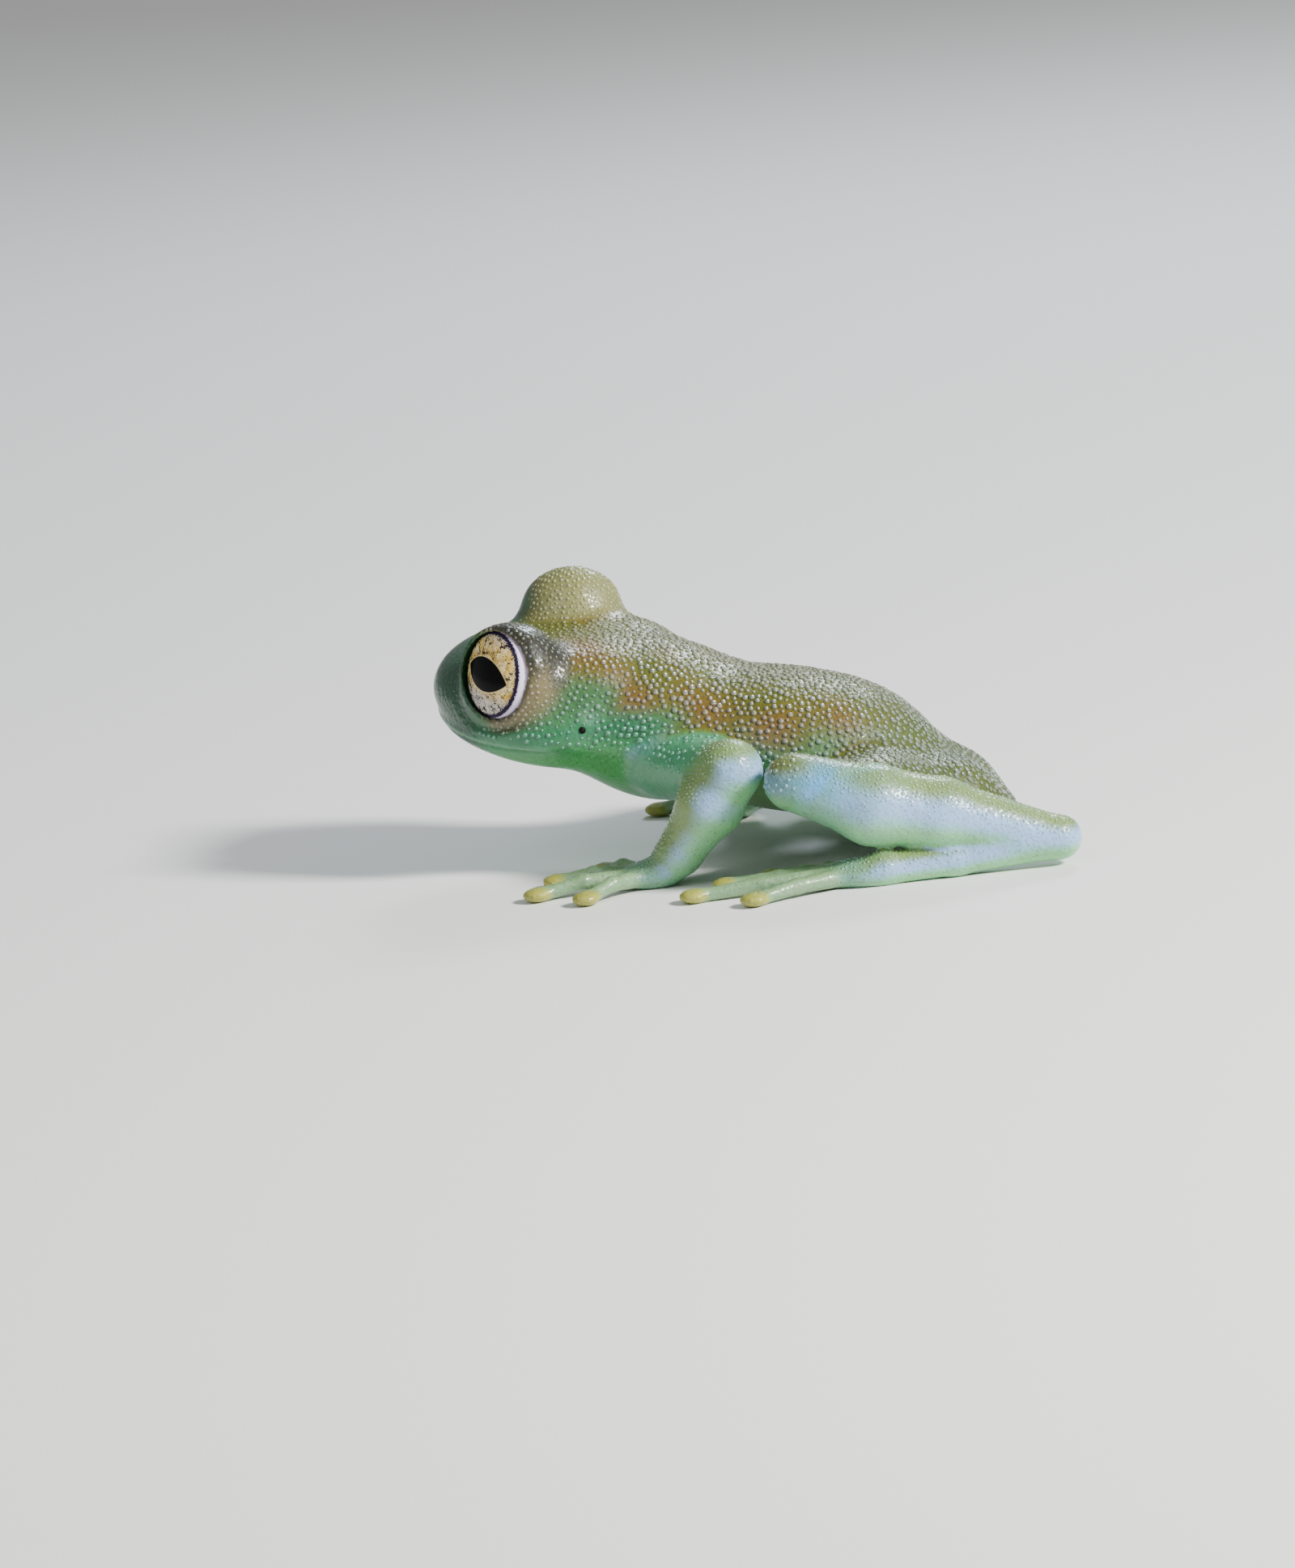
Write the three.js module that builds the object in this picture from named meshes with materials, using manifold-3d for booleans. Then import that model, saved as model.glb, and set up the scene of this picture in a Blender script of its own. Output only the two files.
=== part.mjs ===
import * as THREE from "three";
import { mergeVertices } from "three/addons/utils/BufferGeometryUtils.js";
import Module from "manifold-3d";

// A glass frog, life size, crouched with its head up and its hind legs folded.
// Millimetres. +X is the frog's left, -Y is where its nose points, +Z is up.
// The flesh is a field of rounded lumps and tapered bones that melt into one another.
// Each body part is a three.js capsule or sphere whose vertices are pushed out to that
// field, and thin cuts keep the parts apart.

const wasm = await Module();
wasm.setup();

// Driving sizes
const GAP = 0.3; // between two parts that meet
const EYE_GAP = 0.2; // round an eyeball in its socket
const STEP = 0.2; // the stride of a push outward, before it is narrowed down
const EYE_RADIUS = 1.62;
const LID_RADIUS = 2.02;
const LID_OPENING = 0.74; // from the eye's centre to the plane of the lid's rim
const HEAD_ROLL = 10; // degrees: the right side of the head is higher
const HEAD_YAW = 6; // degrees: the nose is turned a little to the right
const HEAD_PIVOT = [0, -6, 5.5];
const NECK_Y = -5.2; // the cut between head and torso, at the height of NECK_Z
const NECK_Z = 5;
const NECK_LEAN = 14; // degrees
const LIP_DEPTH = 0.32;
const LIP_HEIGHT = 0.2;
const WEB_THICK = 0.46;
const DIGIT_RADIUS = 0.3;

const at = (x, y, z) => new THREE.Vector3(x, y, z);
const X_AXIS = at(1, 0, 0);
const Y_AXIS = at(0, 1, 0);
const degrees = THREE.MathUtils.degToRad;

// Fields: below 0 inside, and close to the distance in millimetres outside

// An ellipsoid; pitch turns it about X, so that a positive pitch lifts its rear end.
function lump(centre, half, pitch = 0) {
  const turn = new THREE.Quaternion().setFromAxisAngle(X_AXIS, -degrees(pitch));
  return (p) => {
    const q = p.clone().sub(centre).applyQuaternion(turn).divide(half);
    const reach = q.length();
    const slope = q.divide(half).length();
    return slope < 1e-9 ? -half.x : (reach * (reach - 1)) / slope;
  };
}

// A bone's flesh: round, with a radius that changes evenly from one end to the other.
function bone(from, to, radiusFrom, radiusTo) {
  const along = to.clone().sub(from);
  return (p) => {
    const share = THREE.MathUtils.clamp(p.clone().sub(from).dot(along) / along.lengthSq(), 0, 1);
    const nearest = from.clone().addScaledVector(along, share);
    return p.distanceTo(nearest) - THREE.MathUtils.lerp(radiusFrom, radiusTo, share);
  };
}

// Fields melted into one: softness is how far each rounds the crease with the next.
function melt(softness, fields) {
  return (p) =>
    fields.reduce((sum, field) => {
      const next = field(p);
      const near = Math.max(softness - Math.abs(sum - next), 0) / softness;
      return Math.min(sum, next) - (near * near * softness) / 4;
    }, 1e3);
}

// A chain of bones through joints, given as [point, radius] pairs.
function chain(joints) {
  return joints.slice(1).map(([to, radiusTo], i) => bone(joints[i][0], to, joints[i][1], radiusTo));
}

// Solids

const solidOf = (geometry) => {
  geometry.deleteAttribute("normal");
  geometry.deleteAttribute("uv");
  const merged = mergeVertices(geometry, 1e-4);
  return new wasm.Manifold(
    new wasm.Mesh({
      numProp: 3,
      vertProperties: merged.attributes.position.array,
      triVerts: new Uint32Array(merged.index.array),
    }),
  );
};

// How far from start a field reaches the level, in the direction ray.
function pushOut(field, level, start, ray, reach) {
  const value = (r) => field(start.clone().addScaledVector(ray, r)) - level;
  let low = 0;
  let high = STEP;
  while (high < reach && value(high) < 0) {
    low = high;
    high += STEP;
  }
  for (let i = 0; i < 14; i++) {
    const middle = (low + high) / 2;
    if (value(middle) < 0) low = middle;
    else high = middle;
  }
  return low;
}

// A capsule along an axis inside the field, each vertex pushed out to the field's surface.
// level 0 is the skin; a level above 0 is that far outside it.
function wrap(field, from, to, { sides = 12, caps = 3, rows = 5, level = 0, reach = 6 } = {}) {
  const axis = to.clone().sub(from);
  const length = axis.length();
  const geometry = new THREE.CapsuleGeometry(1, length, caps, sides, rows);
  const turn = new THREE.Quaternion().setFromUnitVectors(Y_AXIS, axis.clone().normalize());
  const middle = from.clone().add(to).multiplyScalar(0.5);
  const vertices = geometry.attributes.position;
  for (let i = 0; i < vertices.count; i++) {
    const vertex = at(0, 0, 0).fromBufferAttribute(vertices, i);
    const foot = at(0, THREE.MathUtils.clamp(vertex.y, -length / 2, length / 2), 0);
    const ray = vertex.sub(foot).normalize().applyQuaternion(turn);
    const start = foot.applyQuaternion(turn).add(middle);
    const skin = start.clone().addScaledVector(ray, pushOut(field, level, start, ray, reach));
    vertices.setXYZ(i, skin.x, skin.y, skin.z);
  }
  return solidOf(geometry);
}

function ball(centre, radius, sides = 24) {
  const geometry = new THREE.SphereGeometry(radius, sides, sides / 2).rotateX(Math.PI / 2);
  return solidOf(geometry.translate(centre.x, centre.y, centre.z));
}

const largest = (solid) => solid.decompose().sort((a, b) => b.volume() - a.volume())[0];

const aboveFloor = (solid) => solid.trimByPlane([0, 0, 1], 0);

// The head and trunk

// The head is modelled level and straight, then turned about its pivot.
const headPivot = at(...HEAD_PIVOT);
const headTurn = new THREE.Quaternion().setFromEuler(
  new THREE.Euler(0, degrees(HEAD_ROLL), degrees(-HEAD_YAW), "ZYX"),
);
const onHead = (x, y, z) => at(x, y, z).sub(headPivot).applyQuaternion(headTurn).add(headPivot);
const alongHead = (x, y, z) => at(x, y, z).normalize().applyQuaternion(headTurn);
const headUnturn = headTurn.clone().invert();
const toHead = (p) => p.clone().sub(headPivot).applyQuaternion(headUnturn).add(headPivot);
const inHead = (field) => (p) => field(toHead(p));

const EYES = {
  left: { centre: onHead(3.1, -8.55, 8.2), look: alongHead(0.82, -0.47, 0.32) },
  right: { centre: onHead(-3.1, -8.55, 8.2), look: alongHead(-0.82, -0.47, 0.32) },
};

const headFlesh = [
  lump(at(0, -7.8, 7.0), at(3.9, 3.6, 1.7)), // braincase
  lump(at(0, -8.0, 6.15), at(4.6, 4.1, 1.15), -3), // upper jaw
  lump(at(0, -10.5, 6.9), at(2.6, 2.2, 1.35), -6), // snout
  lump(at(0, -7.4, 5.5), at(3.9, 3.6, 1.0), -16), // lower jaw
].map(inHead);
const trunkFlesh = [
  lump(at(0, -4.4, 5.05), at(3.4, 3.0, 2.75), -14), // throat and shoulders
  lump(at(0, -2.6, 4.9), at(3.8, 4.2, 2.15), -8), // chest and upper back
  lump(at(0, 1.0, 3.9), at(4.2, 4.2, 2.3), -10), // belly
  lump(at(0, 1.6, 4.85), at(2.8, 2.6, 1.38), -12), // sacral hump
  lump(at(0, 4.8, 3.0), at(2.8, 3.4, 1.55), -38), // rump
  lump(at(0, 7.7, 1.5), at(1.4, 1.5, 0.8), -35), // vent
];
const flesh = melt(1.6, [...headFlesh, ...trunkFlesh]);
const orbits = Object.values(EYES).map(({ centre }) => (p) => p.distanceTo(centre) - LID_RADIUS);
const body = melt(0.9, [flesh, ...orbits]);

// The cut at the neck: beyond it is the torso.
const neck = {
  point: at(0, NECK_Y, NECK_Z),
  normal: at(0, Math.cos(degrees(NECK_LEAN)), Math.sin(degrees(NECK_LEAN))),
};

// What lies beyond a cut, or short of it, with half the gap taken off.
const beyond = (solid, { point, normal }) =>
  solid.trimByPlane(normal.toArray(), normal.dot(point) + GAP / 2);
const shortOf = (solid, { point, normal }) =>
  solid.trimByPlane(normal.clone().negate().toArray(), GAP / 2 - normal.dot(point));

// What removes the lip's groove: a thin plate along the mouth, hollowed to the groove's depth.
function lipCutter() {
  const plate = new THREE.BoxGeometry(12, 6.4, LIP_HEIGHT);
  plate.rotateX(degrees(-5)).translate(0, -10.2, 5.95);
  plate.translate(...headPivot.clone().negate()).applyQuaternion(headTurn).translate(...headPivot);
  const ends = [onHead(0, -9.6, 6.2), onHead(0, -7.4, 6.1)];
  const core = wrap(body, ...ends, { sides: 32, caps: 8, rows: 3, level: -LIP_DEPTH });
  return solidOf(plate).subtract(core);
}

// The cap of the lid that the open eye looks through.
function eyeOpening({ centre, look }) {
  return ball(centre, LID_RADIUS + 0.15).trimByPlane(look.toArray(), look.dot(centre) + LID_OPENING);
}

function nostril(side) {
  const start = onHead(0, -10.6, 7.1);
  const ray = alongHead(side * 0.47, -0.82, 0.3);
  const skin = start.clone().addScaledVector(ray, pushOut(body, 0, start, ray, 4));
  return ball(skin, 0.2, 8);
}

function headSolid() {
  let head = wrap(flesh, onHead(0, -9.8, 6.7), onHead(0, -7.2, 6.5), { sides: 32, caps: 8, rows: 4 });
  for (const { centre } of Object.values(EYES)) {
    head = head.add(ball(centre, LID_RADIUS));
  }
  head = shortOf(head, neck);
  for (const eye of Object.values(EYES)) {
    head = head.subtract(ball(eye.centre, EYE_RADIUS + EYE_GAP)).subtract(eyeOpening(eye));
  }
  return largest(head.subtract(lipCutter()).subtract(nostril(1)).subtract(nostril(-1)));
}

const TRUNK_ENDS = [at(0, -3.4, 4.9), at(0, 6.4, 2.2)];

function torsoSolid() {
  return largest(beyond(wrap(flesh, ...TRUNK_ENDS, { sides: 28, caps: 7, rows: 11 }), neck));
}

// The limbs

// The joints of one side's limbs. side is 1 for the frog's left. The right limbs lie farther
// forward, and the right hand points more outward.
function jointsOf(side) {
  const on = (x, y, z) => at(side * x, y, z);
  if (side > 0) {
    return {
      on,
      handTurn: 0,
      footTurn: 0,
      arm: [on(3.0, -3.3, 3.9), on(6.0, -0.15, 4.3), on(5.6, -2.5, 1.2)],
      leg: [on(1.3, 7.0, 2.1), on(6.8, 2.35, 3.95), on(3.9, 11.4, 1.0), on(6.4, 5.4, 0.55)],
    };
  }
  return {
    on,
    handTurn: 45,
    footTurn: 40,
    arm: [on(2.8, -4.0, 4.0), on(6.0, -1.0, 4.1), on(6.0, -3.0, 1.15)],
    leg: [on(1.4, 6.4, 1.95), on(7.9, -0.2, 2.8), on(3.6, 6.6, 0.8), on(7.2, 2.2, 0.55)],
  };
}

// The cut at a joint, between the part before it and the part after it. At a share of 0.5 it
// is half way between them, and nearer 1 it leaves more room for the part before.
function seam(before, joint, after, share = 0.5) {
  const behind = before.clone().sub(joint).normalize();
  const ahead = after.clone().sub(joint).normalize();
  const along = behind.clone().lerp(ahead, share);
  const normal = ahead.clone().multiplyScalar(behind.dot(along)).addScaledVector(behind, -ahead.dot(along));
  return { point: joint, normal: normal.normalize() };
}

// A digit: bones from its root to its tip, with a rounded disc at the tip.
function digit(root, tip, lift) {
  const middle = root.clone().lerp(tip, 0.55).add(at(0, 0, lift));
  const pad = tip.clone().setZ(0.22);
  const bones = chain([[root, DIGIT_RADIUS + 0.08], [middle, DIGIT_RADIUS], [pad, DIGIT_RADIUS - 0.02]]);
  return { root, tip, field: melt(0.25, [...bones, lump(pad, at(0.52, 0.52, 0.3))]) };
}

const digitSolid = ({ root, tip, field }) =>
  wrap(field, root, tip.clone().setZ(0.25), { sides: 7, caps: 2, rows: 4 });

// The membrane between two digits, out to a share of each one's length, with a hollow edge.
function web(a, b, shareA, shareB) {
  const endA = a.root.clone().lerp(a.tip, shareA);
  const endB = b.root.clone().lerp(b.tip, shareB);
  const inner = a.root.clone().lerp(b.root, 0.5);
  const dip = endA.clone().lerp(endB, 0.5).lerp(inner, 0.28);
  const outline = new THREE.Shape().moveTo(a.root.x, a.root.y).lineTo(endA.x, endA.y);
  outline.quadraticCurveTo(dip.x, dip.y, endB.x, endB.y).lineTo(b.root.x, b.root.y).closePath();
  const options = { depth: WEB_THICK, bevelEnabled: false, curveSegments: 3 };
  return solidOf(new THREE.ExtrudeGeometry(outline, options));
}

// Digits that fan out from a palm or sole. Each is [degrees outward from straight ahead, length].
const FINGERS = [[60, 3.6], [30, 4.5], [-1, 3.8], [-38, 3.1]];
const TOES = [[46, 4.6], [23, 6.2], [7, 5.0], [-10, 3.6], [-30, 2.5]];

function fan(centre, on, digits, turn, lift) {
  return digits.map(([angle, length]) => {
    const toward = on(Math.sin(degrees(angle + turn)), -Math.cos(degrees(angle + turn)), 0);
    const root = centre.clone().addScaledVector(toward, 0.5);
    return digit(root, centre.clone().addScaledVector(toward, length).setZ(0.25), lift);
  });
}

function armParts({ on, arm: [shoulder, elbow, wrist], handTurn }) {
  const ahead = on(Math.sin(degrees(handTurn)), -Math.cos(degrees(handTurn)), 0);
  const palm = wrist.clone().addScaledVector(ahead, 1.0).setZ(0.42);
  const belly = elbow.clone().lerp(wrist, 0.4);
  const digits = fan(palm, on, FINGERS, handTurn, 0.2);
  const elbowCut = seam(shoulder, elbow, wrist);
  const wristCut = seam(elbow, wrist, palm);
  return [
    {
      name: "upper_arm",
      ends: [shoulder, elbow],
      flesh: [[shoulder, 1.15], [elbow, 1.05]],
      after: elbowCut,
    },
    {
      name: "forearm",
      ends: [elbow, wrist],
      flesh: [[elbow, 1.08], [belly, 1.2], [wrist, 0.82]],
      before: elbowCut,
      after: wristCut,
    },
    {
      name: "hand",
      ends: [wrist, palm],
      flesh: [[wrist, 0.78], [palm, 0.62]],
      pad: lump(palm, at(0.95, 0.95, 0.55)),
      before: wristCut,
      digits,
      webs: [[0, 1, 0.4, 0.4]],
    },
  ];
}

function legParts({ on, leg: [hip, knee, heel, ankle], footTurn }) {
  const ahead = on(Math.sin(degrees(footTurn)), -Math.cos(degrees(footTurn)), 0);
  const sole = ankle.clone().addScaledVector(ahead, 0.9).setZ(0.4);
  const ham = hip.clone().lerp(knee, 0.45).add(at(0, 0, -0.35));
  const calf = knee.clone().lerp(heel, 0.3).add(on(0.1, 0, -0.2));
  const shin = knee.clone().lerp(heel, 0.55);
  const instep = heel.clone().lerp(ankle, 0.6).setZ(0.6);
  const digits = fan(sole, on, TOES, footTurn, 0.12);
  const webs = [[0, 1, 0.7, 0.6], [1, 2, 0.6, 0.7], [2, 3, 0.6, 0.65], [3, 4, 0.5, 0.5]];
  const kneeCut = seam(hip, knee, heel);
  const heelCut = seam(knee, heel, ankle, 0.7);
  const ankleCut = seam(heel, ankle, sole);
  return [
    {
      name: "thigh",
      ends: [hip, knee],
      flesh: [[hip, 1.1], [ham, 1.3], [knee, 0.95]],
      after: kneeCut,
    },
    {
      name: "shank",
      ends: [knee, heel],
      flesh: [[knee, 1.0], [calf, 1.45], [shin, 1.25], [heel, 0.75]],
      before: kneeCut,
      after: heelCut,
    },
    {
      name: "tarsus",
      ends: [heel, ankle],
      flesh: [[heel, 0.75], [instep, 0.58], [ankle, 0.6]],
      before: heelCut,
      after: ankleCut,
    },
    {
      name: "foot",
      ends: [ankle, sole],
      flesh: [[ankle, 0.6], [sole, 0.55]],
      pad: lump(sole, at(0.95, 1.0, 0.5)),
      before: ankleCut,
      digits,
      webs,
    },
  ];
}

const LIMB_SHAPE = { sides: 14, caps: 3, rows: 6 };
const fieldOf = ({ flesh: joints, pad }) => melt(0.7, [...chain(joints), ...(pad ? [pad] : [])]);

function limbSolid(part) {
  const { ends, before, after, digits = [], webs = [] } = part;
  let solid = wrap(fieldOf(part), ...ends, LIMB_SHAPE);
  if (before) solid = beyond(solid, before);
  if (after) solid = shortOf(solid, after);
  const membranes = webs.map(([a, b, shareA, shareB]) => web(digits[a], digits[b], shareA, shareB));
  const pieces = [...digits.map(digitSolid), ...membranes];
  return aboveFloor(pieces.reduce((sum, piece) => sum.add(piece), solid));
}

// What parts that don't meet this one keep clear of: the part grown by the gap.
const clearanceOf = (part) => wrap(fieldOf(part), ...part.ends, { ...LIMB_SHAPE, level: GAP });

function limbNodes(side) {
  const trunk = wrap(flesh, ...TRUNK_ENDS, { sides: 28, caps: 7, rows: 11, level: GAP });
  const joints = jointsOf(side);
  const taken = [];
  const nodes = {};
  for (const parts of [legParts(joints), armParts(joints)]) {
    const others = [...taken];
    for (const [i, part] of parts.entries()) {
      const clear = [trunk, ...others, ...parts.slice(0, Math.max(i - 1, 0)).map(clearanceOf)];
      const solid = clear.reduce((rest, clearance) => rest.subtract(clearance), limbSolid(part));
      nodes[part.name] = largest(solid);
      taken.push(clearanceOf(part));
    }
  }
  return nodes;
}

// The scene graph

const finish = (color, roughness) => new THREE.MeshStandardMaterial({ color, roughness, metalness: 0 });
const FINISHES = {
  back: finish(0x7f9a45, 0.35),
  limb: finish(0x86b3ab, 0.3),
  digit: finish(0xb9c27a, 0.3),
  eye: finish(0xc79b45, 0.08),
};

function meshOf(name, solid, material) {
  const { numProp, vertProperties, triVerts } = solid.getMesh();
  const positions = [];
  for (let i = 0; i < vertProperties.length; i += numProp) {
    positions.push(...vertProperties.subarray(i, i + 3));
  }
  const geometry = new THREE.BufferGeometry();
  geometry.setAttribute("position", new THREE.Float32BufferAttribute(positions, 3));
  geometry.setIndex([...triVerts]);
  geometry.computeVertexNormals();
  const mesh = new THREE.Mesh(geometry, material);
  mesh.name = name;
  return mesh;
}

const frog = new THREE.Group();
frog.add(meshOf("head", headSolid(), FINISHES.back));
frog.add(meshOf("torso", torsoSolid(), FINISHES.back));
for (const [name, side] of [["left", 1], ["right", -1]]) {
  frog.add(meshOf(`eye_${name}`, ball(EYES[name].centre, EYE_RADIUS, 20), FINISHES.eye));
  for (const [part, solid] of Object.entries(limbNodes(side))) {
    const digits = part === "hand" || part === "foot";
    frog.add(meshOf(`${part}_${name}`, solid, digits ? FINISHES.digit : FINISHES.limb));
  }
}

// The origin is under the middle of the frog's box, on the floor.
const box = new THREE.Box3().setFromObject(frog);
const centre = box.getCenter(at(0, 0, 0));
frog.position.set(-centre.x, -centre.y, -box.min.z);

export default frog;
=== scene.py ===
# %% [markdown]
# # A glass frog
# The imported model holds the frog's plain solids at life size. This script dresses them: one
# moist skin over head, body and limbs, two eyes, and thousands of small pale granules on the
# skin. Sizes below are in millimetres in the frog's own frame (+X its left, -Y its nose, +Z
# up), as in the solids' source, and they become metres when a mesh is made.

# %% Load the frame
import math

import bmesh
import bpy
import numpy as np
import openvdb
from mathutils import Matrix, Vector


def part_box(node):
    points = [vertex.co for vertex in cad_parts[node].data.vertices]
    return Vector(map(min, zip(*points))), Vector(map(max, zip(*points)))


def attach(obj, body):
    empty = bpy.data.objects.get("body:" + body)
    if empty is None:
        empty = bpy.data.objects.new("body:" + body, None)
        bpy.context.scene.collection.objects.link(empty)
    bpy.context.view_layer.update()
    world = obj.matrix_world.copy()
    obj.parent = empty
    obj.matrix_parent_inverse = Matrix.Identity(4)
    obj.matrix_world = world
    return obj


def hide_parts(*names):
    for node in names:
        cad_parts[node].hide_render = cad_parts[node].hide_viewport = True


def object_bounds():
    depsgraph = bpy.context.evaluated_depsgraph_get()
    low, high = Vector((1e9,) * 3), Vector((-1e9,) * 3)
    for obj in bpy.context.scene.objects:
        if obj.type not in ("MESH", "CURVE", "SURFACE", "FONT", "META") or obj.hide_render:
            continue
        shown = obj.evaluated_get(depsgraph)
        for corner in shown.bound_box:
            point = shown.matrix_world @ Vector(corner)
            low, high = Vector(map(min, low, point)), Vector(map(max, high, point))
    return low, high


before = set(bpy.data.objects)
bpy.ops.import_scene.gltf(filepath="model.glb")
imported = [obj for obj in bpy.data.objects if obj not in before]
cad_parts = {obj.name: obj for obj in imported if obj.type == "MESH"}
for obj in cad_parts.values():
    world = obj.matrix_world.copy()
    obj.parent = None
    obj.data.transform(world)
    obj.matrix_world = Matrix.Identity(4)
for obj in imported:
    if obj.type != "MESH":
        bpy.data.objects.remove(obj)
cad_box = [list(corner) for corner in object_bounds()]
MM = 0.001
SIDES = {"left": 1, "right": -1}  # the sign of X on each side
print("solids' box", cad_box)

# %% [markdown]
# ## Where the head is turned
# The head is modelled level and straight, and then rolled and turned a little about a point in
# the neck, because the frog holds its far eye higher. The left eyeball tells how far the packed
# solids were shifted to centre them on the origin, so nothing has to be fitted by eye.

# %% The head's turn, the eyes and the shift
HEAD_ROLL = 10
HEAD_YAW = -6
HEAD_PIVOT = np.array([0, -6, 5.5])
EYE_PLACE = (3.1, -8.55, 8.2)  # the left eye's middle in the level head
EYE_LOOK = (0.80, -0.52, 0.34)  # the left eye's line of sight
LID_OPENING = (0.89, -0.32, 0.32)  # the way out of the left lids' opening
LID_RADIUS = 1.92
BALL_FORWARD = {"left": [0.05, -0.27, 0.02], "right": [0, 0, 0]}  # the left eye is turned to the front

head_turn = np.array(
    Matrix.Rotation(math.radians(HEAD_YAW), 3, "Z") @ Matrix.Rotation(math.radians(HEAD_ROLL), 3, "Y")
)


def on_head(x, y, z):
    """A point of the level head, where it really is."""
    return head_turn @ (np.array([x, y, z]) - HEAD_PIVOT) + HEAD_PIVOT


def to_head(points):
    """Real points, back in the level head's frame."""
    return (points - HEAD_PIVOT) @ head_turn + HEAD_PIVOT


def unit(vector):
    return np.asarray(vector, float) / np.linalg.norm(vector)


def on_side(sign, place):
    """A place or direction of the left side, on the side with that sign of X."""
    return np.array([sign * place[0], place[1], place[2]])


EYES = {side: on_head(*on_side(sign, EYE_PLACE)) for side, sign in SIDES.items()}
LOOKS = {side: head_turn @ unit(on_side(sign, EYE_LOOK)) for side, sign in SIDES.items()}
OPENINGS = {side: head_turn @ unit(on_side(sign, LID_OPENING)) for side, sign in SIDES.items()}
BALLS = {side: centre + BALL_FORWARD[side] for side, centre in EYES.items()}

eye_low, eye_high = (np.array(corner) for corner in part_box("eye_left"))
shift = (eye_low + eye_high) / 2 / MM - EYES["left"]
print("shift in mm", shift.round(3))

# %% [markdown]
# ## Flesh as a field
# A body this smooth is easiest to describe as a field: a function that is below 0 inside the
# flesh and close to the distance outside. Ellipsoids make the masses and tapered bones make
# the limbs. A soft minimum melts each shape into what is there already, which leaves the
# creases and webs of skin that a real animal has where two masses meet.


# %% Shapes of the field
def lump(centre, half, pitch=0, head=False):
    """An ellipsoid. pitch turns it about X, and head puts it in the head's frame."""
    centre, half = np.array(centre, float), np.array(half, float)
    turn = np.array(Matrix.Rotation(math.radians(pitch), 3, "X"))

    def distance(points):
        local = to_head(points) if head else points
        scaled = (local - centre) @ turn / half
        reach = np.linalg.norm(scaled, axis=-1)
        slope = np.linalg.norm(scaled / half, axis=-1)
        return reach * (reach - 1) / np.maximum(slope, 1e-9)

    middle = on_head(*centre) if head else centre
    return distance, middle - half.max(), middle + half.max()


def bone(start, end, radius_start, radius_end):
    """A round limb bone's flesh, tapered evenly between two joints."""
    start, end = np.array(start, float), np.array(end, float)
    along = end - start

    def distance(points):
        share = np.clip((points - start) @ along / (along @ along), 0, 1)
        nearest = start + share[..., None] * along
        thickness = radius_start + share * (radius_end - radius_start)
        return np.linalg.norm(points - nearest, axis=-1) - thickness

    margin = max(radius_start, radius_end)
    return distance, np.minimum(start, end) - margin, np.maximum(start, end) + margin


def soft_min(old, new, softness):
    """The lesser of two fields, with the crease between them filled over that softness."""
    near = np.maximum(softness - np.abs(old - new), 0) / softness
    return np.minimum(old, new) - near * near * softness / 4


# %% [markdown]
# ## The masses of head and trunk
# The same lumps as in the solids: braincase, jaws and snout, then shoulders, chest, belly, the
# sacral hump over the hips, the rump that slopes down from it, and the vent. A dome hoods each
# eye. The left eyeball is turned to the front, so a thin rim of lid follows each ball. A small
# lump behind each eye fills the crease between the dome and the head.

# %% Head and trunk
HEAD_LUMPS = [
    lump((0, -7.8, 7.0), (3.9, 3.6, 1.7), head=True),
    lump((0, -8.0, 6.15), (4.6, 4.1, 1.15), -3, head=True),
    lump((0, -10.5, 6.9), (2.6, 2.2, 1.35), -6, head=True),
    lump((0, -7.4, 5.5), (3.9, 3.6, 1.0), -16, head=True),
]
TRUNK_LUMPS = [
    lump((0, -4.4, 5.05), (3.4, 3.0, 2.75), -14),
    lump((0, -2.6, 4.9), (3.8, 4.2, 2.15), -8),
    lump((0, 1.0, 3.9), (4.2, 4.2, 2.3), -10),
    lump((0, 1.6, 4.85), (2.8, 2.6, 1.38), -12),
    lump((0, 4.8, 3.0), (2.8, 3.4, 1.55), -38),
    lump((0, 7.7, 1.5), (1.4, 1.5, 0.8), -35),
]
HOODS = [lump(centre, [LID_RADIUS] * 3) for centre in EYES.values()]
RIMS = [lump(centre, [LID_RADIUS - 0.03] * 3) for centre in BALLS.values()]
TEMPLES = [
    lump((1.9, -6.5, 7.5), (1.5, 1.7, 1.0), head=True),
    lump((-2.1, -6.5, 7.2), (1.3, 1.7, 0.85), head=True),
]

# %% [markdown]
# ## Limbs
# Each limb is a chain of joints. A hand or foot is a fan of digits from its palm or sole, each
# with a round disc at the tip. The right limbs lie farther forward than the left ones.

# %% Joints of the limbs
LIMBS = {
    "left": {
        "sign": 1,
        "hand_turn": 0,
        "foot_turn": 0,
        "arm": [(3.0, -3.3, 3.9), (6.0, -0.15, 4.3), (5.6, -2.5, 1.2)],
        "leg": [(1.3, 7.0, 2.1), (6.8, 2.35, 3.95), (3.9, 11.4, 1.0), (6.4, 5.4, 0.55)],
    },
    "right": {
        "sign": -1,
        "hand_turn": 45,
        "foot_turn": 40,
        "arm": [(2.8, -4.0, 4.0), (6.0, -1.0, 4.1), (6.0, -3.0, 1.15)],
        "leg": [(1.4, 6.4, 1.95), (7.9, -0.2, 2.8), (3.6, 6.6, 0.8), (7.2, 2.2, 0.55)],
    },
}
FINGERS = [(60, 3.6), (30, 4.5), (-1, 3.8), (-38, 3.1)]  # degrees outward, length
TOES = [(46, 4.6), (23, 6.2), (7, 5.0), (-10, 3.6), (-30, 2.5)]
DIGIT_RADIUS = 0.3
DISC_LEVEL = 0.22
PALM_LEVEL = 0.42
SOLE_LEVEL = 0.4
INSTEP_LEVEL = 0.6


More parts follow.
